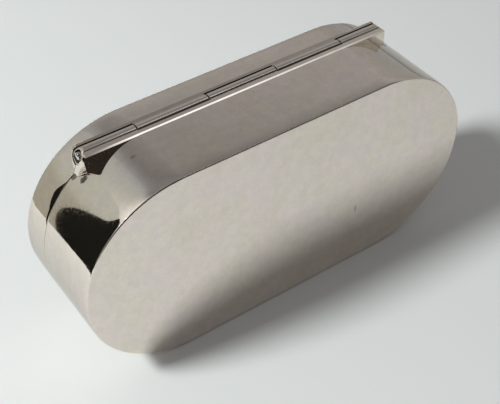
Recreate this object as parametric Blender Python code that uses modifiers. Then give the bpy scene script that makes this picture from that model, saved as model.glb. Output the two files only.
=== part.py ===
"""Pocket snuff box of soldered sheet metal with a five-knuckle book hinge.

The box stands on its long front side with the hinge on top. X runs along the
box, Y from the base plate to the lid plate and Z up from the front side. The
origin is below the middle of the box. Lengths are in metres.
"""
import math

import bmesh
import bpy
from mathutils import Matrix, Vector

MM = 0.001

# Outline and depth of the closed box
BOX_LENGTH = 85.0 * MM
BOX_WIDTH = 41.4 * MM
BODY_DEPTH = 16.0 * MM
LID_DEPTH = 6.9 * MM

# Sheet metal
WALL_THICKNESS = 0.8 * MM
PLATE_THICKNESS = 0.8 * MM
PLATE_EDGE_ROUNDING = 0.14 * MM
RIM_EDGE_ROUNDING = 0.08 * MM

# Fits
SOLDER_GAP = 0.05 * MM
PARTING_GAP = 0.15 * MM
SWING_CLEARANCE = 0.16 * MM

# Bezel inside the body, over which the lid closes
BEZEL_THICKNESS = 0.5 * MM
BEZEL_SEAT = 4.0 * MM
BEZEL_RISE = 1.7 * MM
BEZEL_LEAN = 0.2 * MM
BEZEL_LIP_ROUNDING = 0.15 * MM
BEZEL_HINGE_MARGIN = 0.6 * MM

# Hinge barrel and pin
AXIS_DROP = 0.97 * MM
BARREL_RADIUS = 1.43 * MM
BORE_RADIUS = 0.9 * MM
PIN_CLEARANCE = 0.1 * MM
PIN_RECESS = 0.45 * MM
PIN_DOME = 0.25 * MM
HINGE_OVERHANG = 11.5 * MM
FIRST_KNUCKLE_LENGTH = 11.6 * MM
LAST_KNUCKLE_LENGTH = 10.0 * MM
KNUCKLE_COUNT = 5
KNUCKLE_GAP = 0.25 * MM
LEFT_END_SLANT = math.radians(18.0)
RIGHT_END_SLANT = math.radians(5.0)

# Bearers, the bars let into the walls that carry the knuckles
BEARER_RISE = 0.13 * MM
BEARER_FLOOR = 0.45 * MM
BODY_BEARER_REACH = 2.25 * MM
BODY_BEARER_ROUNDING = 0.4 * MM
LID_BEARER_REACH = 1.8 * MM
LID_BEARER_ROUNDING = 0.4 * MM

# Smoothness of the curves
END_SEGMENTS = 48
BARREL_SEGMENTS = 40
DOME_SEGMENTS = 5
ROUNDING_SEGMENTS = 2
BEARER_ROUNDING_SEGMENTS = 3

# Helpers for cutters and merging
CUTTER_OVERRUN = 3.0 * MM
MERGE_DISTANCE = 0.001 * MM
FLAT_ANGLE = math.radians(0.1)
SHARP_ANGLE = math.radians(30.0)
QUARTER_TURN = math.radians(90.0)
FULL_TURN = math.radians(360.0)

# Places worked out from the sizes above
BASE_Y = -(BODY_DEPTH + LID_DEPTH) / 2
SEAM_Y = BASE_Y + BODY_DEPTH
LID_Y = SEAM_Y + LID_DEPTH
LID_RIM_Y = SEAM_Y + PARTING_GAP
MID_Z = BOX_WIDTH / 2
END_RADIUS = BOX_WIDTH / 2
END_CENTRE_X = BOX_LENGTH / 2 - END_RADIUS
AXIS_Y = SEAM_Y + PARTING_GAP / 2
AXIS_Z = BOX_WIDTH - AXIS_DROP
HINGE_HALF_LENGTH = END_CENTRE_X + HINGE_OVERHANG
BEARER_TOP_Z = BOX_WIDTH + BEARER_RISE
BEARER_BOTTOM_Z = AXIS_Z - BARREL_RADIUS - BEARER_FLOOR

# Finishes: colour, roughness, metallic value
POLISHED_SILVER = ((0.72, 0.69, 0.65, 1.0), 0.14, 1.0)
INNER_SILVER = ((0.74, 0.70, 0.62, 1.0), 0.3, 1.0)
PIN_METAL = ((0.66, 0.63, 0.58, 1.0), 0.22, 1.0)

PART_COLLECTION = "snuff_box"
CUTTER_COLLECTION = "snuff_box_cutters"


def clear_scene():
    for item in list(bpy.data.objects):
        bpy.data.objects.remove(item, do_unlink=True)


def collection(name):
    found = bpy.data.collections.get(name)
    if found is None:
        found = bpy.data.collections.new(name)
        bpy.context.scene.collection.children.link(found)
    return found


def give_material(item, finish):
    colour, roughness, metallic = finish
    material = bpy.data.materials.new(item.name + "_metal")
    material.use_nodes = True
    shader = material.node_tree.nodes["Principled BSDF"]
    shader.inputs["Base Color"].default_value = colour
    shader.inputs["Roughness"].default_value = roughness
    shader.inputs["Metallic"].default_value = metallic
    item.data.materials.append(material)


def finish_part(item, finish):
    item.data.shade_smooth()
    item.data.set_sharp_from_angle(angle=SHARP_ANGLE)
    give_material(item, finish)


def hide_cutter(item):
    item.hide_render = True
    item.display_type = "WIRE"


# Outlines and profiles

def stadium(inset):
    """Points of the box outline, moved inwards by the inset, about its middle."""
    radius = END_RADIUS - inset
    points = []
    for side in (1, -1):
        for step in range(END_SEGMENTS + 1):
            angle = side * QUARTER_TURN - math.pi * step / END_SEGMENTS
            x = side * END_CENTRE_X + radius * math.cos(angle)
            points.append((x, radius * math.sin(angle)))
    return points


def curve_outline(name, loops, depth):
    """A filled flat curve of closed loops, the inner ones holes, with a thickness."""
    data = bpy.data.curves.new(name, "CURVE")
    data.dimensions = "2D"
    data.fill_mode = "BOTH"
    data.extrude = depth / 2
    for loop in loops:
        spline = data.splines.new("POLY")
        spline.points.add(len(loop) - 1)
        for point, (x, z) in zip(spline.points, loop):
            point.co = (x, z, 0.0, 1.0)
        spline.use_cyclic_u = True
    return bpy.data.objects.new(name, data)


def mesh_from_curve(curve):
    """The curve as a welded mesh object in the same place."""
    bpy.context.scene.collection.objects.link(curve)
    bpy.context.view_layer.update()
    evaluated = curve.evaluated_get(bpy.context.evaluated_depsgraph_get())
    data = bpy.data.meshes.new_from_object(evaluated)
    name = curve.name
    place = curve.matrix_world.copy()
    curve_data = curve.data
    bpy.data.objects.remove(curve, do_unlink=True)
    bpy.data.curves.remove(curve_data)
    data.name = name
    shape = bmesh.new()
    shape.from_mesh(data)
    bmesh.ops.remove_doubles(shape, verts=shape.verts, dist=MERGE_DISTANCE)
    bmesh.ops.dissolve_limit(shape, angle_limit=FLAT_ANGLE, verts=shape.verts, edges=shape.edges)
    bmesh.ops.recalc_face_normals(shape, faces=shape.faces)
    shape.to_mesh(data)
    shape.free()
    item = bpy.data.objects.new(name, data)
    item.matrix_world = place
    collection(PART_COLLECTION).objects.link(item)
    return item


def prism(name, loops, start_y, end_y, centre_z):
    """Closed loops in the XZ plane, extruded from start_y to end_y."""
    curve = curve_outline(name, loops, end_y - start_y)
    curve.location = (0, (start_y + end_y) / 2, centre_z)
    curve.rotation_euler = (QUARTER_TURN, 0, 0)
    return mesh_from_curve(curve)


def turned(name, profile, closed, group):
    """A profile of (x, radius) points, outer side from +X to -X, turned about the hinge axis."""
    shape = bmesh.new()
    corners = [shape.verts.new((x, 0, radius)) for x, radius in profile]
    for first, second in zip(corners, corners[1:]):
        shape.edges.new((first, second))
    if closed:
        shape.edges.new((corners[-1], corners[0]))
    data = bpy.data.meshes.new(name)
    shape.to_mesh(data)
    shape.free()
    item = bpy.data.objects.new(name, data)
    item.location = (0, AXIS_Y, AXIS_Z)
    collection(group).objects.link(item)
    screw = item.modifiers.new("turn", "SCREW")
    screw.axis = "X"
    screw.angle = FULL_TURN
    screw.steps = BARREL_SEGMENTS
    screw.render_steps = BARREL_SEGMENTS
    screw.use_merge_vertices = True
    screw.merge_threshold = MERGE_DISTANCE
    return item


def box_cutter(name, low, high):
    """A box between two corners."""
    bpy.ops.mesh.primitive_cube_add(size=1)
    item = bpy.context.object
    item.name = name
    for holder in list(item.users_collection):
        holder.objects.unlink(item)
    collection(CUTTER_COLLECTION).objects.link(item)
    low = Vector(low)
    high = Vector(high)
    item.location = (low + high) / 2
    item.data.transform(Matrix.Diagonal((*(high - low), 1.0)))
    hide_cutter(item)
    return item


def cut(item, cutter):
    boolean = item.modifiers.new("cut_" + cutter.name, "BOOLEAN")
    boolean.operation = "DIFFERENCE"
    boolean.solver = "EXACT"
    boolean.object = cutter


def is_level(value, level):
    return abs(value - level) < MERGE_DISTANCE


def round_marked_edges(item, width, segments, is_marked):
    """Round only the edges whose two ends both pass the test."""
    weights = item.data.attributes.new("bevel_weight_edge", "FLOAT", "EDGE")
    place = item.matrix_world
    for edge in item.data.edges:
        ends = [place @ item.data.vertices[index].co for index in edge.vertices]
        weights.data[edge.index].value = 1.0 if all(is_marked(end) for end in ends) else 0.0
    bevel = item.modifiers.new("rounding", "BEVEL")
    bevel.width = width
    bevel.segments = segments
    bevel.limit_method = "WEIGHT"


# Hinge measures

def knuckle_joints():
    """X of the two hinge ends and of the joints, with the inner knuckles of equal length."""
    first_joint = FIRST_KNUCKLE_LENGTH - HINGE_HALF_LENGTH
    last_joint = HINGE_HALF_LENGTH - LAST_KNUCKLE_LENGTH
    inner_count = KNUCKLE_COUNT - 2
    inner_length = (last_joint - first_joint) / inner_count
    inner_joints = [first_joint + inner_length * step for step in range(inner_count + 1)]
    return [-HINGE_HALF_LENGTH] + inner_joints + [HINGE_HALF_LENGTH]


def carried_by_body(index):
    return index % 2 == 0


def end_slant(side):
    """How far an end of the hinge leans from square; side is 1 to the right and -1 to the left."""
    return RIGHT_END_SLANT if side > 0 else LEFT_END_SLANT


def slanted_end_x(z, side):
    """X of a slanted end of the hinge at a height."""
    return side * (HINGE_HALF_LENGTH + (AXIS_Z - z) * math.tan(end_slant(side)))


def bearer_foot_angle(side):
    """Angle from straight up, about the end centre, where the slanted end meets the wall."""
    slant = end_slant(side)
    radius = END_RADIUS + SOLDER_GAP
    start = Vector((HINGE_OVERHANG, AXIS_Z - MID_Z))
    along = Vector((math.sin(slant), -math.cos(slant)))
    half_chord = start.dot(along)
    travel = -half_chord - math.sqrt(half_chord ** 2 - start.length_squared + radius ** 2)
    foot = start + along * travel
    return math.atan2(foot.x, foot.y)


def bearer_outline():
    """Side view of a bearer: flat top, slanted ends, feet that follow the curved wall."""
    radius = END_RADIUS + SOLDER_GAP
    join = math.acos((BEARER_BOTTOM_Z - MID_Z) / radius)
    points = []
    for side in (1, -1):
        foot = bearer_foot_angle(side)
        steps = max(2, round(END_SEGMENTS * (foot - join) / math.pi))
        half = [(slanted_end_x(BEARER_TOP_Z, side), BEARER_TOP_Z - MID_Z)]
        for step in range(steps + 1):
            angle = foot + (join - foot) * step / steps
            half.append((side * (END_CENTRE_X + radius * math.sin(angle)), radius * math.cos(angle)))
        points += half[::side]
    return points


# Parts

def make_band(name, plate_y, rim_y, inset, thickness, rounding):
    """A wall that follows the outline, from its soldered edge to its rounded rim."""
    loops = [stadium(inset), stadium(inset + thickness)]
    band = prism(name, loops, min(plate_y, rim_y), max(plate_y, rim_y), MID_Z)
    round_marked_edges(band, rounding, ROUNDING_SEGMENTS, lambda point: is_level(point.y, rim_y))
    return band


def make_plate(name, inner_y, outer_y):
    plate = prism(name, [stadium(0)], min(inner_y, outer_y), max(inner_y, outer_y), MID_Z)
    round_marked_edges(plate, PLATE_EDGE_ROUNDING, ROUNDING_SEGMENTS,
                       lambda point: is_level(point.y, outer_y))
    finish_part(plate, POLISHED_SILVER)
    return plate


def make_walls():
    """The body and lid walls, notched on top for the bearers."""
    body_wall = make_band("body_wall", BASE_Y + PLATE_THICKNESS + SOLDER_GAP, SEAM_Y,
                          0, WALL_THICKNESS, RIM_EDGE_ROUNDING)
    lid_wall = make_band("lid_wall", LID_Y - PLATE_THICKNESS - SOLDER_GAP, LID_RIM_Y,
                         0, WALL_THICKNESS, RIM_EDGE_ROUNDING)
    low_x = slanted_end_x(BEARER_BOTTOM_Z, -1) - CUTTER_OVERRUN
    high_x = slanted_end_x(BEARER_BOTTOM_Z, 1) + CUTTER_OVERRUN
    floor_z = BEARER_BOTTOM_Z - SOLDER_GAP
    top_z = BEARER_TOP_Z + CUTTER_OVERRUN
    body_notch = box_cutter("body_wall_notch",
                            (low_x, AXIS_Y - BODY_BEARER_REACH - SOLDER_GAP, floor_z),
                            (high_x, AXIS_Y, top_z))
    lid_notch = box_cutter("lid_wall_notch",
                           (low_x, AXIS_Y, floor_z),
                           (high_x, AXIS_Y + LID_BEARER_REACH + SOLDER_GAP, top_z))
    cut(body_wall, body_notch)
    cut(lid_wall, lid_notch)
    finish_part(body_wall, POLISHED_SILVER)
    finish_part(lid_wall, POLISHED_SILVER)
    return body_wall, lid_wall


def lean_inwards(band, rim_y, lean):
    """Draw the rim in towards the middle of the box, so that the band tapers."""
    place = band.matrix_world
    back = place.inverted()
    for vertex in band.data.vertices:
        point = place @ vertex.co
        if is_level(point.y, rim_y):
            middle_x = max(-END_CENTRE_X, min(END_CENTRE_X, point.x))
            outwards = (point - Vector((middle_x, rim_y, MID_Z))).normalized()
            vertex.co = back @ (point - outwards * lean)


def make_bezel():
    """The inner strip that the lid closes over, soldered at its foot and left out along the hinge."""
    rim_y = SEAM_Y + BEZEL_RISE
    bezel = make_band("body_bezel", SEAM_Y - BEZEL_SEAT, rim_y,
                      WALL_THICKNESS + SOLDER_GAP, BEZEL_THICKNESS, BEZEL_LIP_ROUNDING)
    lean_inwards(bezel, rim_y, BEZEL_LEAN)
    ends = []
    for side in (-1, 1):
        foot_z = MID_Z + END_RADIUS * math.cos(bearer_foot_angle(side))
        ends.append(slanted_end_x(foot_z, side) + side * BEZEL_HINGE_MARGIN)
    opening = box_cutter("bezel_hinge_opening",
                         (ends[0], SEAM_Y - BEZEL_SEAT - CUTTER_OVERRUN, MID_Z),
                         (ends[1], rim_y + CUTTER_OVERRUN, BOX_WIDTH))
    cut(bezel, opening)
    finish_part(bezel, INNER_SILVER)
    return bezel


def cove_cutter(name, on_body):
    """A stepped round bar: close on the bearer's own knuckles, clear of the others."""
    own_radius = BARREL_RADIUS + SOLDER_GAP
    free_radius = BARREL_RADIUS + SWING_CLEARANCE
    joints = knuckle_joints()
    joints[0] -= CUTTER_OVERRUN
    joints[-1] += CUTTER_OVERRUN
    profile = [(joints[0], 0)]
    for index in range(KNUCKLE_COUNT):
        is_own = carried_by_body(index) == on_body
        radius = own_radius if is_own else free_radius
        reach = -KNUCKLE_GAP / 2 if is_own else KNUCKLE_GAP / 2
        start = joints[index] - (reach if index else 0)
        end = joints[index + 1] + (reach if index + 1 < KNUCKLE_COUNT else 0)
        profile.append((start, radius))
        profile.append((end, radius))
    profile.append((joints[-1], 0))
    cutter = turned(name, profile[::-1], False, CUTTER_COLLECTION)
    hide_cutter(cutter)
    return cutter


def make_bearer(name, start_y, end_y, on_body, rounding):
    bearer = prism(name, [bearer_outline()], start_y, end_y, MID_Z)
    outer_y = start_y if on_body else end_y
    round_marked_edges(bearer, rounding, BEARER_ROUNDING_SEGMENTS,
                       lambda point: is_level(point.y, outer_y) and is_level(point.z, BEARER_TOP_Z))
    cut(bearer, cove_cutter(name + "_cove", on_body))
    finish_part(bearer, POLISHED_SILVER)
    return bearer


def make_knuckle(index, end_cutters):
    joints = knuckle_joints()
    start = joints[index] + KNUCKLE_GAP / 2
    end = joints[index + 1] - KNUCKLE_GAP / 2
    if index == 0:
        start = joints[0] - CUTTER_OVERRUN / 2
    if index == KNUCKLE_COUNT - 1:
        end = joints[-1] + CUTTER_OVERRUN / 2
    profile = [(end, BARREL_RADIUS), (start, BARREL_RADIUS), (start, BORE_RADIUS), (end, BORE_RADIUS)]
    knuckle = turned("hinge_knuckle_%d" % (index + 1), profile, True, PART_COLLECTION)
    if index == 0:
        cut(knuckle, end_cutters[0])
    if index == KNUCKLE_COUNT - 1:
        cut(knuckle, end_cutters[1])
    finish_part(knuckle, POLISHED_SILVER)
    return knuckle


def make_end_cutters():
    """Boxes beyond the slanted ends of the hinge."""
    cutters = []
    size = BARREL_RADIUS + CUTTER_OVERRUN
    for side, label in ((-1, "left"), (1, "right")):
        cutter = box_cutter("hinge_end_" + label, (-size, -size, -size), (size, size, size))
        end = Matrix.Translation((side * HINGE_HALF_LENGTH, AXIS_Y, AXIS_Z))
        slant = Matrix.Rotation(-side * end_slant(side), 4, "Y")
        cutter.matrix_world = end @ slant @ Matrix.Translation((side * size, 0, 0))
        cutters.append(cutter)
    return cutters


def make_pin():
    """A plain wire with domed ends that stop short of the knuckle mouths."""
    radius = BORE_RADIUS - PIN_CLEARANCE
    half_length = HINGE_HALF_LENGTH - PIN_RECESS - PIN_DOME
    profile = []
    for step in range(DOME_SEGMENTS + 1):
        angle = QUARTER_TURN * step / DOME_SEGMENTS
        profile.append((half_length + PIN_DOME * math.cos(angle), radius * math.sin(angle)))
    profile += [(-x, ring) for x, ring in reversed(profile)]
    pin = turned("hinge_pin", profile, False, PART_COLLECTION)
    finish_part(pin, PIN_METAL)
    return pin


def hang_on_axis(parts):
    """Carry the lid's parts on an empty that lies on the hinge axis."""
    axis = bpy.data.objects.new("lid_hinge_axis", None)
    axis.location = (0, AXIS_Y, AXIS_Z)
    collection(PART_COLLECTION).objects.link(axis)
    for part in parts:
        part.parent = axis
        part.matrix_parent_inverse = Matrix.Translation(axis.location).inverted()


def build():
    clear_scene()
    body_wall, lid_wall = make_walls()
    make_plate("base_plate", BASE_Y + PLATE_THICKNESS, BASE_Y)
    lid_plate = make_plate("lid_plate", LID_Y - PLATE_THICKNESS, LID_Y)
    make_bezel()
    make_bearer("body_bearer", AXIS_Y - BODY_BEARER_REACH, SEAM_Y, True, BODY_BEARER_ROUNDING)
    lid_bearer = make_bearer("lid_bearer", LID_RIM_Y, AXIS_Y + LID_BEARER_REACH,
                             False, LID_BEARER_ROUNDING)
    end_cutters = make_end_cutters()
    knuckles = [make_knuckle(index, end_cutters) for index in range(KNUCKLE_COUNT)]
    make_pin()
    lid_knuckles = [knuckle for index, knuckle in enumerate(knuckles) if not carried_by_body(index)]
    hang_on_axis([lid_wall, lid_plate, lid_bearer] + lid_knuckles)


build()
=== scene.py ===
import math

import bmesh
import bpy
from mathutils import Matrix, Vector


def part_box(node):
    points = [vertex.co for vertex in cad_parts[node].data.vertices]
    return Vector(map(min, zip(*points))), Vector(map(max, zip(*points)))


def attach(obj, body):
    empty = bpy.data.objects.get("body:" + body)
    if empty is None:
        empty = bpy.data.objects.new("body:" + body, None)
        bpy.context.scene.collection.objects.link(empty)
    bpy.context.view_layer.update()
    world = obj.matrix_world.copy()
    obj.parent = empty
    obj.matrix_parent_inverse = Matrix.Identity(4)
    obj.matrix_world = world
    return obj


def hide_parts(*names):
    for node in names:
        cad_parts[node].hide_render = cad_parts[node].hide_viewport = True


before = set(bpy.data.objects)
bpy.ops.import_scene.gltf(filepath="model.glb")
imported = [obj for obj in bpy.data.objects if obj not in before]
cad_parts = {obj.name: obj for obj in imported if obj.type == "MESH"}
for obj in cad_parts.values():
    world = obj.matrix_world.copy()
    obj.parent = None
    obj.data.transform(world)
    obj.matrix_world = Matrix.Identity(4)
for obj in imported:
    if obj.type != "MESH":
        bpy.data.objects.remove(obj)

MM = 0.001
QUARTER_TURN = math.radians(90.0)
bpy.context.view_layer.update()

# Sizes that the frame gives
BASE_LOW, BASE_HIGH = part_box("base_plate")
LID_LOW, LID_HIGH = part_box("lid_plate")
BARREL_LOW, BARREL_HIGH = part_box("hinge_knuckle_3")
PIN_LOW, PIN_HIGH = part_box("hinge_pin")
BEZEL_LOW, BEZEL_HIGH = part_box("body_bezel")
BODY_BEARER_LOW, BODY_BEARER_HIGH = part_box("body_bearer")
LID_BEARER_LOW, LID_BEARER_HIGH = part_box("lid_bearer")

END_RADIUS = (BASE_HIGH.z - BASE_LOW.z) / 2
MID_Z = (BASE_HIGH.z + BASE_LOW.z) / 2
END_CENTRE_X = BASE_HIGH.x - END_RADIUS
BASE_Y = BASE_LOW.y
BASE_INSIDE_Y = BASE_HIGH.y
LID_Y = LID_HIGH.y
LID_INSIDE_Y = LID_LOW.y
BODY_RIM_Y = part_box("body_wall")[1].y
LID_RIM_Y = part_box("lid_wall")[0].y
BARREL_RADIUS = (BARREL_HIGH.y - BARREL_LOW.y) / 2
AXIS_Y = (BARREL_HIGH.y + BARREL_LOW.y) / 2
AXIS_Z = (BARREL_HIGH.z + BARREL_LOW.z) / 2
PIN_RADIUS = (PIN_HIGH.y - PIN_LOW.y) / 2
WALL_TOP_Z = BASE_HIGH.z

# Sheet and edges
WALL_THICKNESS = 0.8 * MM
PLATE_EDGE_ROUNDING = 0.32 * MM
EDGE_ROLL = 0.08 * MM
EDGE_ROLL_LENGTH = 3.0 * MM
RIM_ROUNDING = 0.09 * MM
INSIDE_FILLET = 0.35 * MM
BEZEL_THICKNESS = 0.5 * MM
BEZEL_LEAN = 0.2 * MM
BEZEL_LIP_ROUNDING = 0.18 * MM
BEZEL_HINGE_MARGIN = 0.6 * MM

# Knuckles and pin
LAST_KNUCKLE = 5
KNUCKLES = range(1, LAST_KNUCKLE + 1)
BORE_RADIUS = 0.93 * MM
WORN_MOUTH_RADIUS = 1.1 * MM
WORN_MOUTH_DEPTH = 1.2 * MM
LEFT_END_SLANT = math.radians(18.0)
RIGHT_END_SLANT = math.radians(5.0)
HINGE_HALF_LENGTH = -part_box("hinge_knuckle_1")[0].x - BARREL_RADIUS * math.tan(LEFT_END_SLANT)
END_CORNER = 1.2 * MM
MOUTH_ROUNDING = 0.22 * MM
BORE_ROUNDING = 0.06 * MM
JOINT_ROUNDING = 0.04 * MM
PIN_DOME = 0.25 * MM
PIN_LEFT_END = -33.5 * MM

# Bearers: the coves that the knuckles sit in, the lands beside them and the webs below
LID_COVE_CLEARANCE = 0.26 * MM
BODY_COVE_CLEARANCE = 0.09 * MM
KNUCKLE_GAP = 0.25 * MM
SOLDER_OVERLAP = 0.04 * MM
SOLDER_FILLET = 0.25 * MM
BEARER_FLOOR = 0.45 * MM
LAND_RISE = 0.13 * MM
LID_LAND_TILT = math.radians(5.5)
SHOULDER_DROP = 0.16 * MM
BODY_SHOULDER_SLOPE = math.radians(22.0)
LID_SHOULDER_SLOPE = math.radians(30.0)
LID_SHOULDER_REACH = 0.3 * MM
LID_WEB_RADIUS = 1.88 * MM
LID_WEB_FOOT = 0.75 * MM
ARRIS = 0.05 * MM
END_ARRIS = 0.14 * MM
BEARER_OVERRUN = 1.0 * MM
CUTTER_OVERRUN = 3.0 * MM
# A point on the filed flat at each end of the body bearer, and the way it faces
FILED_CORNERS = ((Vector((-33.0, 2.38, 39.2)) * MM, Vector((-0.60, -0.80, -0.05)).normalized()),
                 (Vector((32.6, 2.38, 39.2)) * MM, Vector((0.60, -0.80, -0.05)).normalized()))

# Wear of the lid's rim where it curves down at the left, as angles from straight up
WEAR_START = math.radians(42.0)
WEAR_MIDDLE = math.radians(51.0)
WEAR_NARROW = math.radians(59.0)
WEAR_END = math.radians(84.0)
WEAR_WIDEST = 1.35 * MM
WEAR_NARROW_WIDTH = 0.5 * MM
WEAR_SLOPE = math.radians(7.0)

# Smoothness
END_STEPS = 120
SIDE_STEPS = 16
BARREL_STEPS = 96
CORNER_STEPS = 5
PIN_DOME_STEPS = 10
BEARER_SIDE_STEPS = 24
ARRIS_STEPS = 4
LID_WEB_STEPS = 12
FILLET_STEPS = 6
FACE_RING_SHARES = (1.0, 0.8, 0.6, 0.4, 0.25, 0.12, 0.05, 0.02)
WALL_RING_SHARES = (0.015, 0.03, 0.05, 0.08, 0.11, 0.15, 0.2, 0.3,
                    0.5, 0.7, 0.8, 0.86, 0.91, 0.94, 0.97, 0.99)
MERGE_DISTANCE = 0.0005 * MM
SHARP_ANGLE = math.radians(35.0)
BEVEL_ANGLE = math.radians(50.0)

# Metals: base colours, the share of each colour left by two tints of old polish and by smudges
SILVER_COLOUR = (0.885, 0.806, 0.75)
INNER_COLOUR = (0.80, 0.74, 0.60)
PIN_COLOUR = (0.74, 0.73, 0.72)
GRAZING_TINT = (0.74, 0.74, 0.74)
ROSY_SHARES = (1.0, 0.975, 0.995)
STRAW_SHARES = (0.99, 1.0, 0.93)
SMUDGED_SHARE = 0.86
TARNISH_COLOUR = (0.70, 0.60, 0.44)
# Near black dirt and painted shade for the creases
CREASE_DIRT_AND_SHADE_COLOUR = (0.07, 0.06, 0.045)
# Near black dirt and painted shade for the hinge's coves and bores
JOINT_DIRT_AND_SHADE_COLOUR = (0.03, 0.026, 0.02)

# Noise patterns: fineness per millimetre, detail, roughness, and the noise that gives none and all
PATTERNS = {"tarnish": (0.09, 3.0, 0.5, 0.35, 0.75),
            "mottle": (0.9, 4.0, 0.5, 0.4, 0.7),
            "tints": (0.13, 5.0, 0.62, 0.38, 0.62),
            "smudges": (0.5, 7.0, 0.72, 0.36, 0.64),
            "grain": (3.0, 2.0, 0.5, 0.35, 0.65),
            "crease_breakup": (2.5, 3.0, 0.5, 0.35, 0.6),
            "haze": (0.25, 4.0, 0.5, 0.4, 0.75)}
# Other noise: fineness per millimetre and detail
RAGGED_NOISE = (2.2, 4.0)
LUMP_NOISE = (3.0, 4.0)
WAVE_NOISE = (0.07, 1.0)
SCRATCH_NOISE = (3.2, 1.0)

# How much each of these counts in the stain, the smudges, the dirt and painted shade, and the roughness
TARNISH_SHARE = 0.22
MOTTLE_SHARE = 0.15
CORNER_STAIN_SHARE = 0.6
SMUDGE_SHARE = 0.55
GRAIN_SHARE = 0.25
LEAST_CREASE_BREAKUP_SHARE = 0.35
HAZE_SHARE = 0.5
SCRATCH_ROUGHNESS = 0.05
CORNER_ROUGHNESS = 0.12
CREASE_DIRT_AND_SHADE_ROUGHNESS = 0.35

# The share of a place's surroundings that is open: where tarnished corners start and are full, and where dirt
# with painted shade in creases starts and is full
CREVICE_REACH = 0.6 * MM
CREVICE_SAMPLES = 8
CORNER_OPENNESS = (0.75, 0.25)
CREASE_DIRT_AND_SHADE_OPENNESS = (0.5, 0.32)

# Hairline scratches: turns in degrees, fineness along them as a share of that across, and where they start
# and are full
SCRATCH_TURNS = ((10, 24, 0), (0, -37, 15), (75, 5, 40))
SCRATCH_STRETCH = 0.03
SCRATCH_EDGE = (0.66, 0.71)

# Dark spots on the box, painted shade at the feet of the hinge's two ends and at the seam by its left end,
# and dirt on the top and the base plate: middle and half sizes in millimetres, and how dark
SHADE_AND_DIRT_SPOTS = (((-33.8, 1.9, 37.6), (1.2, 0.75, 0.9), 1.0),
         ((-34.6, 4.1, 36.9), (0.9, 0.8, 0.8), 0.9),
         ((-25.8, -1.5, 41.0), (0.6, 0.5, 0.5), 0.45),
         ((33.3, 2.6, 38.1), (0.9, 0.7, 0.7), 0.8),
         ((16.4, -11.4, 13.7), (0.25, 0.5, 1.1), 0.4))
# How far out a spot ends and is full, in half sizes, with the ragged noise added
SPOT_EDGE = (1.5, 1.1)

# Dirt and painted shade in the joints: the noise where lumps start and are full, how much lighter they are,
# and their relief
LUMP_COLOUR_EDGE = (0.4, 0.7)
LUMP_ROUGHNESS_EDGE = (0.3, 0.7)
LUMP_ROUGHNESS = (0.45, 0.7)
LUMP_LIGHTENING = 2.2
LUMP_RELIEF = 0.02 * MM
DIRT_AND_SHADE_METALLIC = 0.4

# The photo's camera, fitted to the box
CAMERA_PLACE = Vector((-85.8, -126.5, 157.3)) * MM
CAMERA_FORWARD = Vector((0.40836, 0.60901, -0.67997))
CAMERA_RIGHT = Vector((0.82359, -0.56702, -0.01324))
FOCAL_PIXELS = 1057.5
IMAGE_WIDTH = 500
SENSOR_WIDTH = 36.0
CLIP_START = 5 * MM
CLIP_END = 100.0

# Table and room, in metres
FLOOR_COLOUR = (0.785, 0.80, 0.80)
FLOOR_RADIUS = 3.0
FLOOR_STEPS = 64
FLOOR_ROUGHNESS = 0.75
FLOOR_SPECULAR = 0.1
FLOOR_FADE_START = 0.15
FLOOR_FADE_END = 0.4
BACKDROP_COLOUR = (0.70, 0.725, 0.745)
FILL_COLOUR = (0.255, 0.25, 0.245)
DOME_RADIUS = 2.0
DOME_TOP = math.radians(88.0)
DOME_RINGS = 24
DOME_STEPS = 48
# Colour of the room as the metal mirrors it, by elevation in degrees
DOME_COLOURS = ((0, (0.40, 0.412, 0.408)), (8, (0.365, 0.372, 0.366)), (18, (0.34, 0.34, 0.332)),
                (27, (0.35, 0.343, 0.336)), (33, (0.38, 0.373, 0.368)), (37, (0.35, 0.344, 0.338)),
                (40, (0.29, 0.286, 0.281)), (48, (0.205, 0.202, 0.198)), (60, (0.23, 0.227, 0.223)),
                (90, (0.25, 0.247, 0.243)))

# The lamp that lights the table and the box, in metres and watts
KEY_DIRECTION = Vector((-0.9, 0.238, 1.0)).normalized()
KEY_DISTANCE = 0.7
KEY_SIZE = 0.155
KEY_POWER = 4.3
KEY_COLOUR = (0.95, 0.985, 0.975)

# What the polished metal mirrors besides the room. Each card has a width, a height, a colour, and how far
# in it fades from its own edges at -X, +X, -Y and +Y, all lengths in millimetres.
SHARPEST_FADE = 0.0005
# These face the box: azimuth from +Y towards +X and elevation in degrees, and distance
DARK_ROOM_COLOUR = (0.03, 0.028, 0.026)
DARK_ROOM_FADE = (30, 30, 60, 60)
CARDS_ROUND_THE_BOX = (("window_glow", -52, 37, 400, 640, 373, (0.52, 0.54, 0.495), (287, 80, 80, 80)),
                       ("window_sky", -28, 40, 450, 330, 330, (0.325, 0.35, 0.365), (150, 60, 80, 80)),
                       ("window_halo", -62, 52, 380, 300, 300, (0.95, 0.95, 0.93), (100, 100, 100, 100)),
                       ("dark_room_145", 145, 52, 450, 380, 420, DARK_ROOM_COLOUR, DARK_ROOM_FADE),
                       ("dark_room_185", 185, 30, 450, 380, 480, DARK_ROOM_COLOUR, DARK_ROOM_FADE),
                       ("dark_room_225", 225, 30, 450, 380, 480, DARK_ROOM_COLOUR, DARK_ROOM_FADE))
# These stand upright at the left: how far off, aside and up from a point by the box's left end
BOARD_AZIMUTH = -45
LEFT_END = Vector((-40, 0, 0))
BOARDS_AT_THE_LEFT = (("dark_board", 113, -44, 60, 90, 122, (0.012, 0.012, 0.01), (0, 0, 0, 0)),
                      ("grey_screen", 112, 76, 24, 150, 140, (0.41, 0.41, 0.35), (0, 0, 0, 50)))
# This hangs over the table and faces down
LAMP_PLACE = Vector((235, 32, 450))
LAMP_SIZE = (290, 26)
LAMP_COLOUR = (1.323, 1.35, 1.3905)
LAMP_FADE = (40, 230, 5, 5)


# Meshes

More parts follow.
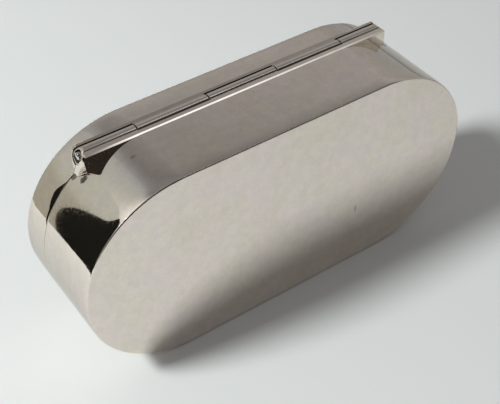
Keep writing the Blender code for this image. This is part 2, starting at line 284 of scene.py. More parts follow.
def finish_mesh(name, shape):
    """A smooth-shaded object from a bmesh, with its faces pointing out."""
    bmesh.ops.remove_doubles(shape, verts=shape.verts, dist=MERGE_DISTANCE)
    bmesh.ops.recalc_face_normals(shape, faces=shape.faces)
    data = bpy.data.meshes.new(name)
    shape.to_mesh(data)
    shape.free()
    data.shade_smooth()
    item = bpy.data.objects.new(name, data)
    bpy.context.scene.collection.objects.link(item)
    return item


def skin(name, rings, closed_loop=False, cap_ends=False):
    """A mesh through rings of equally many points, each joined to the next."""
    shape = bmesh.new()
    rows = [[shape.verts.new(point) for point in ring] for ring in rings]
    pairs = list(zip(rows, rows[1:]))
    if closed_loop:
        pairs.append((rows[-1], rows[0]))
    for first, second in pairs:
        for index in range(len(first)):
            following = (index + 1) % len(first)
            shape.faces.new((first[index], first[following], second[following], second[index]))
    if cap_ends:
        shape.faces.new(rows[0])
        shape.faces.new(rows[-1])
    return finish_mesh(name, shape)


def turned(name, profile, closed):
    """A profile of (x, radius) turned about the hinge axis."""
    rings = []
    for x, radius in profile:
        ring = []
        for step in range(BARREL_STEPS):
            angle = 2 * math.pi * step / BARREL_STEPS
            ring.append((x, AXIS_Y + radius * math.sin(angle), AXIS_Z + radius * math.cos(angle)))
        rings.append(ring)
    return skin(name, rings, closed_loop=closed)


def apply_modifiers(item):
    """The object's evaluated mesh becomes its own mesh."""
    graph = bpy.context.evaluated_depsgraph_get()
    data = bpy.data.meshes.new_from_object(item.evaluated_get(graph))
    item.modifiers.clear()
    item.data = data


def settle_normals(item):
    """Sharp edges stay sharp, and big flat faces keep their own normals."""
    item.data.set_sharp_from_angle(angle=SHARP_ANGLE)
    normals = item.modifiers.new("normals", "WEIGHTED_NORMAL")
    normals.mode = "FACE_AREA"
    normals.weight = 100
    normals.keep_sharp = True
    apply_modifiers(item)


def combine(item, other, operation):
    """A boolean of the item with another, which brings its materials along and is then gone."""
    boolean = item.modifiers.new("combine", "BOOLEAN")
    boolean.operation = operation
    boolean.solver = "EXACT"
    boolean.material_mode = "TRANSFER"
    boolean.object = other
    apply_modifiers(item)
    bpy.data.objects.remove(other, do_unlink=True)


# Outlines and profiles

def quarter():
    """Pairs (1 - cos, 1 - sin) over a quarter turn."""
    angles = [QUARTER_TURN * step / CORNER_STEPS for step in range(CORNER_STEPS + 1)]
    return [(1 - math.cos(angle), 1 - math.sin(angle)) for angle in angles]


def outline(inset):
    """Points (x, z) of the box outline moved inwards, clockwise from the top right."""
    radius = END_RADIUS - inset
    points = []
    for side in (1, -1):
        for step in range(END_STEPS):
            angle = math.pi * step / END_STEPS
            x = END_CENTRE_X + radius * math.sin(angle)
            points.append((side * x, MID_Z + side * radius * math.cos(angle)))
        for step in range(SIDE_STEPS):
            x = END_CENTRE_X * (1 - 2 * step / SIDE_STEPS)
            points.append((side * x, MID_Z - side * radius))
    return points


def shell_profile(plate_y, inside_y, rim_y):
    """(inset, y) from the middle of the outer face, round the rim, to the middle inside."""
    way = 1 if rim_y > plate_y else -1
    edge = PLATE_EDGE_ROUNDING
    rim = RIM_ROUNDING
    profile = [(END_RADIUS * share, plate_y) for share in FACE_RING_SHARES]
    profile += [(EDGE_ROLL + edge * near, plate_y + way * edge * far) for far, near in quarter()]
    wall_start = plate_y + way * edge
    wall_end = rim_y - way * rim
    for share in WALL_RING_SHARES:
        y = wall_start + (wall_end - wall_start) * share
        roll = max(0.0, 1 - abs(y - wall_start) / EDGE_ROLL_LENGTH)
        profile.append((EDGE_ROLL * roll ** 3, y))
    profile += [(rim * near, rim_y - way * rim * far) for near, far in quarter()]
    profile += [(WALL_THICKNESS - rim * near, rim_y - way * rim * far) for near, far in quarter()[::-1]]
    fillet = INSIDE_FILLET
    profile += [(WALL_THICKNESS + fillet * near, inside_y + way * fillet * far) for near, far in quarter()]
    inside = END_RADIUS - WALL_THICKNESS - fillet
    profile += [(END_RADIUS - inside * (1 - share), inside_y) for share in FACE_RING_SHARES[::-1]]
    return profile


def rim_wear(x, z, inset, distance):
    """How far the lid's rim is worn in at a point, by its distance from the rim."""
    angle = math.atan2(-END_CENTRE_X - x, z - MID_Z)
    if inset > WALL_THICKNESS / 2 or not WEAR_START < angle < WEAR_END:
        return 0.0
    if angle < WEAR_MIDDLE:
        width = WEAR_WIDEST * (angle - WEAR_START) / (WEAR_MIDDLE - WEAR_START)
    elif angle < WEAR_NARROW:
        share = (angle - WEAR_MIDDLE) / (WEAR_NARROW - WEAR_MIDDLE)
        width = WEAR_WIDEST + (WEAR_NARROW_WIDTH - WEAR_WIDEST) * share
    else:
        width = WEAR_NARROW_WIDTH * (WEAR_END - angle) / (WEAR_END - WEAR_NARROW)
    return max(0.0, width - distance) * math.tan(WEAR_SLOPE)


# Materials

class Graph:
    """Short calls for the nodes of one material."""

    def __init__(self, name):
        self.material = bpy.data.materials.new(name)
        self.material.use_nodes = True
        self.tree = self.material.node_tree
        self.shader = self.tree.nodes["Principled BSDF"]

    def add(self, kind, **settings):
        node = self.tree.nodes.new(kind)
        for name, value in settings.items():
            setattr(node, name, value)
        return node

    def link(self, source, target):
        self.tree.links.new(source, target)

    def feed(self, socket, value):
        if isinstance(value, bpy.types.NodeSocket):
            self.link(value, socket)
        else:
            socket.default_value = value

    def surface(self, source):
        self.link(source, self.tree.nodes["Material Output"].inputs["Surface"])

    def emission(self, colour):
        node = self.add("ShaderNodeEmission")
        node.inputs["Color"].default_value = (*colour, 1.0)
        return node.outputs[0]

    def mix_shaders(self, factor, first, second):
        node = self.add("ShaderNodeMixShader")
        for socket, source in zip(node.inputs, (factor, first, second)):
            self.link(source, socket)
        return node.outputs[0]

    def math(self, operation, *values):
        node = self.add("ShaderNodeMath", operation=operation)
        for socket, value in zip(node.inputs, values):
            self.feed(socket, value)
        return node.outputs[0]

    def chain(self, operation, values):
        """One value from many, taken two at a time."""
        result = values[0]
        for value in values[1:]:
            result = self.math(operation, result, value)
        return result

    def ramp(self, value, low, high, start=0.0, end=1.0):
        """The value mapped from low..high to start..end, smooth and clamped."""
        node = self.add("ShaderNodeMapRange", interpolation_type="SMOOTHSTEP")
        for name, given in (("Value", value), ("From Min", low), ("From Max", high),
                            ("To Min", start), ("To Max", end)):
            self.feed(node.inputs[name], given)
        return node.outputs["Result"]

    def object_place(self):
        return self.add("ShaderNodeTexCoord").outputs["Object"]

    def mapped(self, scale, turn=(0, 0, 0), shift=(0, 0, 0)):
        """Object coordinates in millimetres, turned, stretched and moved."""
        mapping = self.add("ShaderNodeMapping")
        self.link(self.object_place(), mapping.inputs["Vector"])
        mapping.inputs["Location"].default_value = shift
        mapping.inputs["Rotation"].default_value = [math.radians(value) for value in turn]
        mapping.inputs["Scale"].default_value = [value / MM for value in scale]
        return mapping.outputs["Vector"]

    def length(self, vector):
        node = self.add("ShaderNodeVectorMath", operation="LENGTH")
        self.link(vector, node.inputs[0])
        return node.outputs["Value"]

    def parts(self, vector):
        node = self.add("ShaderNodeSeparateXYZ")
        self.link(vector, node.inputs[0])
        return node.outputs

    def noise(self, place, fineness, detail, roughness=0.5):
        node = self.add("ShaderNodeTexNoise")
        self.link(place, node.inputs["Vector"])
        node.inputs["Scale"].default_value = fineness
        node.inputs["Detail"].default_value = detail
        node.inputs["Roughness"].default_value = roughness
        return node.outputs["Fac"]

    def pattern(self, place, kind, start=0.0, end=1.0):
        """One of the noise patterns, from start where there is none of it to end where it is full."""
        fineness, detail, roughness, low, high = PATTERNS[kind]
        return self.ramp(self.noise(place, fineness, detail, roughness), low, high, start, end)

    def blend(self, factor, first, second):
        node = self.add("ShaderNodeMix", data_type="RGBA")
        self.feed(node.inputs["Factor"], factor)
        for socket, colour in ((node.inputs["A"], first), (node.inputs["B"], second)):
            if not isinstance(colour, bpy.types.NodeSocket):
                colour = (*colour, 1.0)
            self.feed(socket, colour)
        return node.outputs["Result"]

    def bump(self, height, distance, under=None):
        node = self.add("ShaderNodeBump")
        node.inputs["Strength"].default_value = 1.0
        node.inputs["Distance"].default_value = distance
        self.link(height, node.inputs["Height"])
        if under is not None:
            self.link(under, node.inputs["Normal"])
        return node.outputs["Normal"]


def shade_and_dirt_spots(graph):
    """1 in the middle of a dark spot and 0 off it, with ragged edges. By the hinge the spots are painted
    shade, elsewhere dirt.
    """
    ragged = graph.noise(graph.mapped((1, 1, 1)), *RAGGED_NOISE)
    marks = []
    for middle, sizes, depth in SHADE_AND_DIRT_SPOTS:
        shift = [-value / size for value, size in zip(middle, sizes)]
        place = graph.mapped([1 / size for size in sizes], shift=shift)
        far = graph.math("ADD", graph.length(place), ragged)
        marks.append(graph.ramp(far, *SPOT_EDGE, 0.0, depth))
    return graph.chain("MAXIMUM", marks)


def hairlines(graph):
    """Fine straight scratches in several directions, 1 on a scratch and 0 off it."""
    marks = []
    for turn in SCRATCH_TURNS:
        place = graph.mapped((SCRATCH_STRETCH, 1, 1), turn=turn)
        marks.append(graph.ramp(graph.noise(place, *SCRATCH_NOISE), *SCRATCH_EDGE))
    return graph.chain("MAXIMUM", marks)


def metal(name, colour, roughness, waviness, scratch_depth, dirt_and_shade_share=1.0):
    """Plated metal with faint waves, hairline scratches, old polish, tarnish in the corners, and dirt with
    painted shade darkening the creases.
    """
    graph = Graph(name)
    shader = graph.shader
    shader.inputs["Metallic"].default_value = 1.0
    shader.inputs["Specular Tint"].default_value = (*GRAZING_TINT, 1.0)
    place = graph.mapped((1, 1, 1))
    crevice = graph.add("ShaderNodeAmbientOcclusion", samples=CREVICE_SAMPLES)
    crevice.inputs["Distance"].default_value = CREVICE_REACH
    openness = crevice.outputs["AO"]
    corners = graph.ramp(openness, *CORNER_OPENNESS)

    rosy = [channel * share for channel, share in zip(colour, ROSY_SHARES)]
    straw = [channel * share for channel, share in zip(colour, STRAW_SHARES)]
    smudged = [channel * SMUDGED_SHARE for channel in colour]
    smudges = graph.math("ADD", graph.pattern(place, "smudges", end=SMUDGE_SHARE),
                         graph.pattern(place, "grain", end=GRAIN_SHARE))
    polish = graph.blend(smudges, graph.blend(graph.pattern(place, "tints"), rosy, straw), smudged)
    stain = graph.chain("ADD", [graph.math("MULTIPLY", graph.pattern(place, "tarnish"), TARNISH_SHARE),
                                graph.math("MULTIPLY", graph.pattern(place, "mottle"), MOTTLE_SHARE),
                                graph.math("MULTIPLY", corners, CORNER_STAIN_SHARE * dirt_and_shade_share)])
    plate = graph.blend(graph.ramp(stain, 0.0, 1.0), polish, TARNISH_COLOUR)
    # Painted shade with dirt: where little of the surroundings is open, the colour darkens towards near black
    dirt_and_shade = graph.math("MULTIPLY", graph.ramp(openness, *CREASE_DIRT_AND_SHADE_OPENNESS, 0.0, dirt_and_shade_share),
                       graph.pattern(place, "crease_breakup", start=LEAST_CREASE_BREAKUP_SHARE))
    if dirt_and_shade_share:
        # The dark spots: painted shade by the ends of the hinge, dirt elsewhere
        dirt_and_shade = graph.math("MAXIMUM", dirt_and_shade, shade_and_dirt_spots(graph))
    graph.link(graph.blend(dirt_and_shade, plate, CREASE_DIRT_AND_SHADE_COLOUR), shader.inputs["Base Color"])

    scratches = hairlines(graph)
    rough = graph.chain("ADD", [graph.pattern(place, "haze", end=roughness * HAZE_SHARE), roughness,
                                graph.math("MULTIPLY", scratches, SCRATCH_ROUGHNESS),
                                graph.math("MULTIPLY", corners, CORNER_ROUGHNESS),
                                graph.math("MULTIPLY", dirt_and_shade, CREASE_DIRT_AND_SHADE_ROUGHNESS)])
    graph.link(rough, shader.inputs["Roughness"])
    waves = graph.bump(graph.noise(place, *WAVE_NOISE), waviness)
    graph.link(graph.bump(scratches, scratch_depth, under=waves), shader.inputs["Normal"])
    return graph.material


def dirt_and_shade_fill(name, colour):
    """Dull dark dirt and painted shade, for the coves and bores of the hinge."""
    graph = Graph(name)
    shader = graph.shader
    lumps = graph.noise(graph.mapped((1, 1, 1)), *LUMP_NOISE)
    lighter = [channel * LUMP_LIGHTENING for channel in colour]
    lumpy = graph.blend(graph.ramp(lumps, *LUMP_COLOUR_EDGE), colour, lighter)
    graph.link(lumpy, shader.inputs["Base Color"])
    graph.link(graph.ramp(lumps, *LUMP_ROUGHNESS_EDGE, *LUMP_ROUGHNESS), shader.inputs["Roughness"])
    shader.inputs["Metallic"].default_value = DIRT_AND_SHADE_METALLIC
    graph.link(graph.bump(lumps, LUMP_RELIEF), shader.inputs["Normal"])
    return graph.material


joint_dirt_and_shade = dirt_and_shade_fill("joint_dirt_and_shade", JOINT_DIRT_AND_SHADE_COLOUR)


def paint(items, material):
    """The metal for every face but those darkened with dirt and painted shade in the joints."""
    for item in items:
        if not item.data.materials:
            item.data.materials.append(material)
        for index, own in enumerate(item.data.materials):
            if own is not joint_dirt_and_shade:
                item.data.materials[index] = material


# Hinge

def on_body(index):
    """The odd knuckles are the body's, the even ones the lid's."""
    return index % 2 == 1


def knuckle_span(index):
    """X of the two ends of a knuckle on the axis."""
    low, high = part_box("hinge_knuckle_%d" % index)
    start = -HINGE_HALF_LENGTH if index == 1 else low.x
    end = HINGE_HALF_LENGTH if index == LAST_KNUCKLE else high.x
    return start, end


def hinge_end_x(side, z):
    """X of a slanted end of the hinge at a height, with its top corner worn round."""
    slant = RIGHT_END_SLANT if side > 0 else LEFT_END_SLANT
    reach = HINGE_HALF_LENGTH + (AXIS_Z - z) * math.tan(slant)
    over = z - (AXIS_Z + BARREL_RADIUS - END_CORNER)
    if over > 0.0:
        reach -= END_CORNER - math.sqrt(max(0.0, END_CORNER ** 2 - over ** 2))
    return side * reach


def slant_outer_end(knuckle, side):
    """The outer end of the first or last knuckle follows the slant of the hinge."""
    for vertex in knuckle.data.vertices:
        if HINGE_HALF_LENGTH - side * vertex.co.x < 2 * WORN_MOUTH_DEPTH:
            vertex.co.x += hinge_end_x(side, vertex.co.z) - side * HINGE_HALF_LENGTH


def make_knuckle(index):
    """A tube whose bore is darkened with dirt and painted shade. The open end of the first and last is worn
    wide.
    """
    start, end = knuckle_span(index)
    profile = []
    for x, way, is_mouth in ((start, 1, index == 1), (end, -1, index == LAST_KNUCKLE)):
        rim = MOUTH_ROUNDING if is_mouth else JOINT_ROUNDING
        lip = BORE_ROUNDING if is_mouth else JOINT_ROUNDING
        bore = WORN_MOUTH_RADIUS if is_mouth else BORE_RADIUS
        corner = [(x + way * rim * far, BARREL_RADIUS - rim * near) for near, far in quarter()]
        mouth = [(x + way * lip * far, bore + lip * near) for near, far in quarter()]
        if is_mouth:
            mouth.insert(0, (x + way * WORN_MOUTH_DEPTH, BORE_RADIUS))
        half = mouth + corner[::-1]
        profile += half if way == 1 else half[::-1]
    knuckle = turned("knuckle_%d" % index, profile, True)
    knuckle.data.materials.append(None)
    knuckle.data.materials.append(joint_dirt_and_shade)
    # Faces inside the bore take the near black dirt and painted shade
    for face in knuckle.data.polygons:
        if math.hypot(face.center.y - AXIS_Y, face.center.z - AXIS_Z) < WORN_MOUTH_RADIUS:
            face.material_index = 1
    if index == 1:
        slant_outer_end(knuckle, -1)
    if index == LAST_KNUCKLE:
        slant_outer_end(knuckle, 1)
    settle_normals(knuckle)
    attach(knuckle, "body" if on_body(index) else "lid")
    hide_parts("hinge_knuckle_%d" % index)
    return knuckle


def make_pin():
    """The wire through the knuckles, with domed ends."""
    profile = []
    for way, reach in ((1, PIN_HIGH.x), (-1, PIN_LEFT_END)):
        half = []
        for step in range(PIN_DOME_STEPS + 1):
            angle = QUARTER_TURN * step / PIN_DOME_STEPS
            half.append((reach - way * PIN_DOME * (1 - math.cos(angle)), PIN_RADIUS * math.sin(angle)))
        profile += half[::way]
    pin = turned("pin", profile, False)
    settle_normals(pin)
    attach(pin, "body")
    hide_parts("hinge_pin")
    return pin


def cove_cutter(body):
    """A stepped round bar: sunk into the body's or lid's own knuckles, clear of the others."""
    clearance = BODY_COVE_CLEARANCE if body == "body" else LID_COVE_CLEARANCE
    profile = [(-HINGE_HALF_LENGTH - CUTTER_OVERRUN, 0)]
    for index in KNUCKLES:
        own = on_body(index) == (body == "body")
        radius = BARREL_RADIUS + (-SOLDER_OVERLAP if own else clearance)
        gap = 0 if own else KNUCKLE_GAP
        start, end = knuckle_span(index)
        start -= gap if index > 1 else CUTTER_OVERRUN
        end += gap if index < LAST_KNUCKLE else CUTTER_OVERRUN
        profile += [(start, radius), (end, radius)]
    profile.append((HINGE_HALF_LENGTH + CUTTER_OVERRUN, 0))
    cutter = turned("cove_cutter", profile, False)
    # The faces it cuts take the near black dirt and painted shade, darkening the coves round the knuckles
    cutter.data.materials.append(joint_dirt_and_shade)
    return cutter


def bearer_outline():
    """Side view (x, z) of a bearer: high top, slanted ends, feet sunk a little into the curved wall."""
    radius = END_RADIUS - SOLDER_OVERLAP
    top_z = WALL_TOP_Z + LAND_RISE + ARRIS
    bottom_z = AXIS_Z - BARREL_RADIUS - BEARER_FLOOR
    join_angle = math.acos((bottom_z - MID_Z) / radius)
    steps = BEARER_SIDE_STEPS
    points = []
    for side in (1, -1):
        slant = RIGHT_END_SLANT if side > 0 else LEFT_END_SLANT
        start = Vector((HINGE_HALF_LENGTH - END_CENTRE_X, AXIS_Z - MID_Z))
        along = Vector((math.sin(slant), -math.cos(slant)))
        half_chord = start.dot(along)
        travel = -half_chord - math.sqrt(half_chord ** 2 - start.length_squared + radius ** 2)
        foot = start + along * travel
        foot_angle = math.atan2(foot.x, foot.y)
        half = []
        for step in range(steps + 1):
            z = top_z + (AXIS_Z - top_z) * step / steps
            half.append((hinge_end_x(side, z), z))
        for step in range(steps + 1):
            angle = foot_angle + (join_angle - foot_angle) * step / steps
            half.append((side * (END_CENTRE_X + radius * math.sin(angle)), MID_Z + radius * math.cos(angle)))
        points += half[::side]
    return points


def lid_web(seam_y):
    """(y, z) down the lid's web, which curves in under the barrel as far as the seam."""
    web_end = math.acos((seam_y + ARRIS - AXIS_Y) / LID_WEB_RADIUS)
    points = []
    for step in range(LID_WEB_STEPS + 1):
        turn = web_end * step / LID_WEB_STEPS
        drop = LID_WEB_RADIUS * math.sin(turn) + LID_WEB_FOOT * (turn / QUARTER_TURN) ** 3
        points.append((AXIS_Y + LID_WEB_RADIUS * math.cos(turn), AXIS_Z - drop))
    return points


def bearer_section(body, seam_y, outer_y, slope, tilt):
    """End view (y, z) of a bearer: the seam face, the land, the sloping shoulder and the web."""
    way = 1 if outer_y > seam_y else -1
    land_z = WALL_TOP_Z + LAND_RISE
    shoulder_z = land_z - SHOULDER_DROP
    shoulder_y = outer_y - way * SHOULDER_DROP / math.tan(slope)
    section = [(seam_y, land_z - abs(shoulder_y - seam_y) * math.tan(tilt))]
    for step in range(ARRIS_STEPS + 1):
        turn = slope * step / ARRIS_STEPS
        section.append((shoulder_y + way * ARRIS * (math.sin(turn) - math.tan(slope / 2)),
                        land_z - ARRIS * (1 - math.cos(turn))))
    web_turn = QUARTER_TURN - slope
    for step in range(ARRIS_STEPS + 1):
        turn = slope + web_turn * step / ARRIS_STEPS
        section.append((outer_y - way * ARRIS * (1 - math.sin(turn)),
                        shoulder_z - ARRIS * math.tan(web_turn / 2) + ARRIS * math.cos(turn)))
    section += lid_web(seam_y) if body == "lid" else [(outer_y, MID_Z)]
    section.append((seam_y, section[-1][1]))
    return section


def file_corner(item, place, normal):
    """A flat filed off the item beyond a plane, and closed again."""
    shape = bmesh.new()
    shape.from_mesh(item.data)
    geometry = shape.verts[:] + shape.edges[:] + shape.faces[:]
    bmesh.ops.bisect_plane(shape, geom=geometry, plane_co=place, plane_no=normal, clear_outer=True)
    bmesh.ops.holes_fill(shape, edges=[edge for edge in shape.edges if edge.is_boundary], sides=0)
    shape.to_mesh(item.data)
    shape.free()


def make_bearer(name, node, body, seam_y, outer_y, slope, tilt):
    """The bar that carries the knuckles, let into the wall, with coves for the barrel."""
    past_y = outer_y + (BEARER_OVERRUN if outer_y > seam_y else -BEARER_OVERRUN)
    before_y = seam_y - (past_y - seam_y)
    bearer = skin(name, [[(x, y, z) for x, z in bearer_outline()] for y in (before_y, past_y)], cap_ends=True)
    section = bearer_section(body, seam_y, outer_y, slope, tilt)
    reach = HINGE_HALF_LENGTH + CUTTER_OVERRUN
    bar = skin("bearer_bar", [[(x, y, z) for y, z in section] for x in (-reach, reach)], cap_ends=True)
    combine(bearer, bar, "INTERSECT")
    if body == "body":
        for place, normal in FILED_CORNERS:
            file_corner(bearer, place, normal)
    arris = bearer.modifiers.new("arris", "BEVEL")
    arris.width = END_ARRIS
    arris.segments = ARRIS_STEPS
    arris.limit_method = "ANGLE"
    arris.angle_limit = BEVEL_ANGLE
    apply_modifiers(bearer)
    combine(bearer, cove_cutter(body), "DIFFERENCE")
    settle_normals(bearer)
    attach(bearer, body)
    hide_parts(node)
    return bearer


def make_solder_fillets(body):
    """Concave runs of solder between the land of a bearer and its own knuckles."""
    side = -1 if body == "body" else 1
    rise = WALL_TOP_Z + LAND_RISE - AXIS_Z
    centre_rise = rise + SOLDER_FILLET
    centre_out = math.sqrt((BARREL_RADIUS + SOLDER_FILLET) ** 2 - centre_rise ** 2)
    barrel_angle = math.atan2(centre_out, centre_rise)
    section = []
    for step in range(FILLET_STEPS + 1):
        angle = barrel_angle * step / FILLET_STEPS
        out = centre_out - SOLDER_FILLET * math.sin(angle)
        section.append((out, centre_rise - SOLDER_FILLET * math.cos(angle)))
    section.append((section[-1][0] - SOLDER_FILLET, section[-1][1] - SOLDER_FILLET))
    section.append((section[0][0] - SOLDER_FILLET / 2, section[0][1] - SOLDER_FILLET))
    made = []
    for index in KNUCKLES:
        if on_body(index) != (body == "body"):
            continue
        rings = []
        for end, x in zip((-1, 1), knuckle_span(index)):
            ring = []
            for out, up in section:
                limit = abs(hinge_end_x(end, AXIS_Z + max(up, rise))) - END_ARRIS
                ring.append((end * min(end * x, limit), AXIS_Y + side * out, AXIS_Z + up))
            rings.append(ring)
        fillet = skin("solder_%d" % index, rings, cap_ends=True)
        fillet.data.set_sharp_from_angle(angle=SHARP_ANGLE)
        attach(fillet, body)
        made.append(fillet)
    return made


# Body and lid

def make_shell(name, nodes, body, plate_y, inside_y, rim_y):
    """A plate and its wall, soldered into one shell, with the hinge's coves cut in. The lid's rim is worn."""
    rings = []
    for inset, y in shell_profile(plate_y, inside_y, rim_y):
        ring = []
        for x, z in outline(inset):
            wear = rim_wear(x, z, inset, abs(y - rim_y)) if body == "lid" else 0.0
            if wear > 0.0:
                outwards = Vector((x + END_CENTRE_X, z - MID_Z)).normalized()
                x -= outwards.x * wear
                z -= outwards.y * wear
            ring.append((x, y, z))
        rings.append(ring)
    shell = skin(name, rings)
    combine(shell, cove_cutter(body), "DIFFERENCE")
    settle_normals(shell)
    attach(shell, body)
    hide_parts(*nodes)
    return shell


def make_bezel():
    """The strip that the lid closes over, from one side of the hinge round to the other."""
    outer = WALL_THICKNESS - SOLDER_OVERLAP
    lip = BEZEL_LIP_ROUNDING
    height = BEZEL_HIGH.y - BEZEL_LOW.y
    section = [(outer, BEZEL_LOW.y)]
    section += [(outer + lip * near, BEZEL_HIGH.y - lip * far) for near, far in quarter()]
    section += [(outer + BEZEL_THICKNESS - lip * near, BEZEL_HIGH.y - lip * far)
                for near, far in quarter()[::-1]]
    section.append((outer + BEZEL_THICKNESS, BEZEL_LOW.y))
    section = [(inset + BEZEL_LEAN * (y - BEZEL_LOW.y) / height, y) for inset, y in section]
    path = []
    for side, bearer_end in ((1, BODY_BEARER_HIGH.x), (-1, -BODY_BEARER_LOW.x)):
        opening_x = bearer_end + BEZEL_HINGE_MARGIN - END_CENTRE_X
        opening = math.asin(opening_x / (END_RADIUS - WALL_THICKNESS - BEZEL_THICKNESS))
        turn = math.pi - opening
        half = [(side, opening + turn * step / END_STEPS) for step in range(END_STEPS + 1)]
        path += half if side == 1 else half[::-1]
    rings = []
    for side, angle in path:
        ring = []
        for inset, y in section:
            radius = END_RADIUS - inset
            x = side * (END_CENTRE_X + radius * math.sin(angle))
            ring.append((x, y, MID_Z + radius * math.cos(angle)))
        rings.append(ring)
    bezel = skin("bezel", rings, cap_ends=True)
    settle_normals(bezel)
    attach(bezel, "body")
    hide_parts("body_bezel")
    return bezel


# Table, room and light

def facing(place, target):
    return (Vector(target) - Vector(place)).to_track_quat("-Z", "Y")


def direction(azimuth, elevation):
    """A direction by azimuth from +Y towards +X and elevation above the table, in degrees."""
    turn = math.radians(azimuth)
    lift = math.radians(elevation)
    return Vector((math.sin(turn) * math.cos(lift), math.cos(turn) * math.cos(lift), math.sin(lift)))


def only_reflected(item):
    for way in ("camera", "diffuse", "shadow", "transmission", "volume_scatter"):
        setattr(item, "visible_" + way, False)


def make_camera():
    data = bpy.data.cameras.new("camera")
    data.sensor_width = SENSOR_WIDTH
    data.lens = FOCAL_PIXELS * SENSOR_WIDTH / IMAGE_WIDTH
    data.clip_start = CLIP_START
    data.clip_end = CLIP_END
    camera = bpy.data.objects.new("camera", data)
    bpy.context.scene.collection.objects.link(camera)
    back = -CAMERA_FORWARD.normalized()
    right = (CAMERA_RIGHT - back * CAMERA_RIGHT.dot(back)).normalized()
    up = back.cross(right)
    turn = Matrix((right, up, back)).transposed()
    camera.matrix_world = Matrix.Translation(CAMERA_PLACE) @ turn.to_4x4()
    bpy.context.scene.camera = camera


def make_floor():
    """A pale table that fades into the pale backdrop far from the box."""
    bpy.ops.mesh.primitive_circle_add(vertices=FLOOR_STEPS, radius=FLOOR_RADIUS, fill_type="NGON")
    floor = bpy.context.object
    floor.name = "floor"
    graph = Graph("pale_table")
    shader = graph.shader
    shader.inputs["Base Color"].default_value = (*FLOOR_COLOUR, 1.0)
    shader.inputs["Roughness"].default_value = FLOOR_ROUGHNESS
    shader.inputs["Specular IOR Level"].default_value = FLOOR_SPECULAR
    far = graph.length(graph.object_place())
    fade = graph.ramp(far, FLOOR_FADE_START, FLOOR_FADE_END)
    path = graph.add("ShaderNodeLightPath")
    seen = graph.math("MULTIPLY", fade, path.outputs["Is Camera Ray"])
    graph.surface(graph.mix_shaders(seen, shader.outputs[0], graph.emission(BACKDROP_COLOUR)))
    floor.data.materials.append(graph.material)


def make_world():
    """Plain fill light, with the pale backdrop for whatever the camera and mirrors see of it."""
    world = bpy.data.worlds.new("room")
    bpy.context.scene.world = world
    world.use_nodes = True
    tree = world.node_tree
    fill = tree.nodes["Background"]
    fill.inputs["Color"].default_value = (*FILL_COLOUR, 1.0)
    backdrop = tree.nodes.new("ShaderNodeBackground")
    backdrop.inputs["Color"].default_value = (*BACKDROP_COLOUR, 1.0)
    path = tree.nodes.new("ShaderNodeLightPath")
    seen = path.outputs["Is Camera Ray"]
    for way in ("Is Glossy Ray", "Is Transmission Ray"):
        either = tree.nodes.new("ShaderNodeMath")
        either.operation = "MAXIMUM"
        tree.links.new(seen, either.inputs[0])
        tree.links.new(path.outputs[way], either.inputs[1])
        seen = either.outputs[0]
    mix = tree.nodes.new("ShaderNodeMixShader")
    for source, socket in zip((seen, fill.outputs[0], backdrop.outputs[0]), mix.inputs):
        tree.links.new(source, socket)
    tree.links.new(mix.outputs[0], tree.nodes["World Output"].inputs["Surface"])


def make_room_dome():
    """The room round the table as the metal mirrors it: pale low down and darker higher up."""
    rings = []
    for ring_step in range(DOME_RINGS + 1):
        lift = DOME_TOP * ring_step / DOME_RINGS
        ring = []
        for step in range(DOME_STEPS):
            turn = 2 * math.pi * step / DOME_STEPS
            ring.append((DOME_RADIUS * math.cos(lift) * math.sin(turn),
                         DOME_RADIUS * math.cos(lift) * math.cos(turn), DOME_RADIUS * math.sin(lift)))
        rings.append(ring)
    dome = skin("room_dome", rings)
    cap = bmesh.new()
    cap.from_mesh(dome.data)
    top_edges = [edge for edge in cap.edges if edge.is_boundary and edge.verts[0].co.z > DOME_RADIUS / 2]
    bmesh.ops.holes_fill(cap, edges=top_edges, sides=0)
    cap.to_mesh(dome.data)
    cap.free()
    only_reflected(dome)
    graph = Graph("room_light")
    graph.tree.nodes.remove(graph.shader)
    height = graph.math("DIVIDE", graph.parts(graph.object_place())["Z"], DOME_RADIUS)
    lift = graph.math("DIVIDE", graph.math("ARCSINE", height), QUARTER_TURN)
    level = graph.add("ShaderNodeValToRGB")
    graph.link(lift, level.inputs["Fac"])
    stops = level.color_ramp.elements
    while len(stops) < len(DOME_COLOURS):
        stops.new(0.5)
    for stop, (elevation, colour) in zip(stops, DOME_COLOURS):
        stop.position = elevation / 90.0
    for stop, (elevation, colour) in zip(stops, DOME_COLOURS):
        stop.color = (*colour, 1.0)
    light = graph.add("ShaderNodeEmission")
    graph.link(level.outputs["Color"], light.inputs["Color"])
    graph.surface(light.outputs[0])
    dome.data.materials.append(graph.material)


def make_key_light():
    data = bpy.data.lights.new("key", "AREA")
    data.shape = "DISK"
    data.size = KEY_SIZE
    data.energy = KEY_POWER
    data.color = KEY_COLOUR
    key = bpy.data.objects.new("key", data)
    bpy.context.scene.collection.objects.link(key)
    key.rotation_mode = "QUATERNION"
    key.location = KEY_DIRECTION * KEY_DISTANCE
    key.rotation_quaternion = facing(key.location, (0, 0, 0))


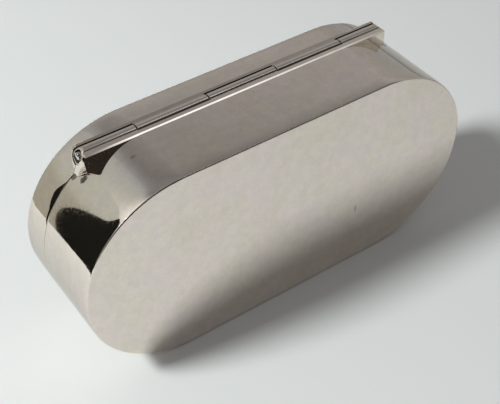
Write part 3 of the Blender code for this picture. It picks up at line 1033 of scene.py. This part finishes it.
def reflector(name, place, target, width, height, colour, fade):
    """A card that only the reflections see, clear at its edges."""
    bpy.ops.mesh.primitive_plane_add(size=1)
    card = bpy.context.object
    card.name = name
    card.data.transform(Matrix.Diagonal((width * MM, height * MM, 1, 1)))
    card.rotation_mode = "QUATERNION"
    card.location = place * MM
    card.rotation_quaternion = facing(place, target)
    only_reflected(card)
    graph = Graph(name)
    graph.tree.nodes.remove(graph.shader)
    parts = graph.parts(graph.object_place())
    edges = (("X", 1, width), ("X", -1, width), ("Y", 1, height), ("Y", -1, height))
    masks = []
    for (axis, way, size), soft in zip(edges, fade):
        inside = graph.math("MULTIPLY_ADD", parts[axis], way, size * MM / 2)
        masks.append(graph.ramp(inside, 0.0, max(soft, SHARPEST_FADE) * MM))
    clear = graph.add("ShaderNodeBsdfTransparent").outputs[0]
    graph.surface(graph.mix_shaders(graph.chain("MULTIPLY", masks), clear, graph.emission(colour)))
    card.data.materials.append(graph.material)


def make_reflections():
    """A window's glow, the dark room, boards to the left and a lamp above."""
    away = direction(BOARD_AZIMUTH, 0)
    across = direction(-BOARD_AZIMUTH, 0)
    for name, off, aside, up, width, height, colour, fade in BOARDS_AT_THE_LEFT:
        place = LEFT_END + away * off + across * aside + Vector((0, 0, up))
        reflector(name, place, place - away, width, height, colour, fade)
    for name, azimuth, elevation, distance, width, height, colour, fade in CARDS_ROUND_THE_BOX:
        place = direction(azimuth, elevation) * distance
        reflector(name, place, (0, 0, 0), width, height, colour, fade)
    below = Vector((LAMP_PLACE.x, LAMP_PLACE.y, 0))
    reflector("lamp_above", LAMP_PLACE, below, *LAMP_SIZE, LAMP_COLOUR, LAMP_FADE)


# The box

body_shell = make_shell("body_shell", ("base_plate", "body_wall"), "body", BASE_Y, BASE_INSIDE_Y, BODY_RIM_Y)
lid_shell = make_shell("lid_shell", ("lid_plate", "lid_wall"), "lid", LID_Y, LID_INSIDE_Y, LID_RIM_Y)
body_land = make_bearer("body_land", "body_bearer", "body", BODY_BEARER_HIGH.y, BODY_BEARER_LOW.y,
                        BODY_SHOULDER_SLOPE, 0.0)
lid_land = make_bearer("lid_land", "lid_bearer", "lid", LID_BEARER_LOW.y,
                       LID_BEARER_HIGH.y + LID_SHOULDER_REACH, LID_SHOULDER_SLOPE, LID_LAND_TILT)
knuckles = [make_knuckle(index) for index in KNUCKLES]
fillets = make_solder_fillets("body") + make_solder_fillets("lid")
pin = make_pin()
bezel = make_bezel()

polished_plate = metal("polished_plate", SILVER_COLOUR, roughness=0.035, waviness=0.012 * MM,
                       scratch_depth=0.0004 * MM)
inner_plate = metal("inner_plate", INNER_COLOUR, roughness=0.16, waviness=0.012 * MM,
                    scratch_depth=0.001 * MM)
drawn_wire = metal("drawn_wire", PIN_COLOUR, roughness=0.12, waviness=0.002 * MM, scratch_depth=0.001 * MM,
                   dirt_and_shade_share=0.0)
paint([body_shell, lid_shell, body_land, lid_land] + knuckles + fillets, polished_plate)
paint([bezel], inner_plate)
paint([pin], drawn_wire)

make_camera()
make_floor()
make_world()
make_room_dome()
make_key_light()
make_reflections()

bpy.context.scene.view_settings.view_transform = "Standard"
